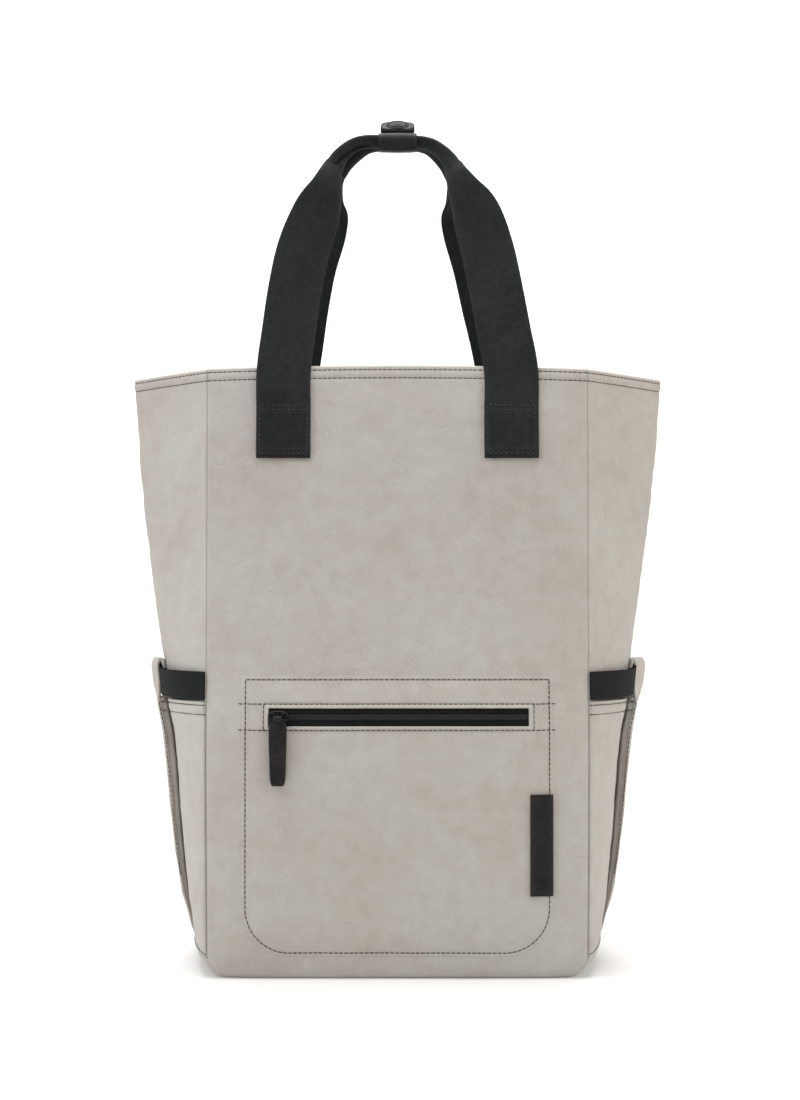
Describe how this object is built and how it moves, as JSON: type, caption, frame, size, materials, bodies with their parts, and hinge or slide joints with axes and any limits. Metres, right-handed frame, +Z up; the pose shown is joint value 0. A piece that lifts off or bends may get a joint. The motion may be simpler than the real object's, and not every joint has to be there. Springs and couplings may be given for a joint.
{
  "type": "cooler backpack",
  "caption": "Tall padded cooler backpack with folded side gussets, webbing carry handles gathered in a leather wrap, a zipped front pocket, pleated side pockets and shoulder straps.",
  "frame": {"origin": "middle of the base, on the surface that the bag stands on", "axes": "+Z up, +X along the width to the viewer's right when facing the front, front towards -Y"},
  "size_m": [0.3844, 0.1964, 0.6078],
  "materials": {
    "cloth": "washed taupe woven cloth, matt, slightly mottled",
    "webbing": "dark grey-black ribbed webbing",
    "elastic": "black ribbed elastic",
    "leather": "dark brown-black grained leather, low sheen",
    "zip": "black zip tape with coil teeth",
    "gunmetal": "dark polished metal",
    "plastic": "black moulded plastic"
  },
  "bodies": {
    "root": {"front_panel": "cloth", "back_panel": "cloth", "base_panel": "cloth", "side_gusset_right": "cloth", "side_gusset_left": "cloth", "front_pocket": "cloth", "zip_tape": "zip", "zip_slider": "gunmetal", "zip_pull": "leather", "label_tab": "leather", "front_handle": "webbing", "back_handle": "webbing", "handle_wrap": "leather", "wrap_snap": "gunmetal", "side_pocket_right": "cloth", "side_pocket_left": "cloth", "pocket_elastic_right": "elastic", "pocket_elastic_left": "elastic", "pocket_loop_right": "cloth", "pocket_loop_left": "cloth", "shoulder_strap_right": "cloth", "strap_buckle_right": "plastic", "strap_webbing_right": "webbing", "shoulder_strap_left": "cloth", "strap_buckle_left": "plastic", "strap_webbing_left": "webbing"}
  },
  "joints": []
}
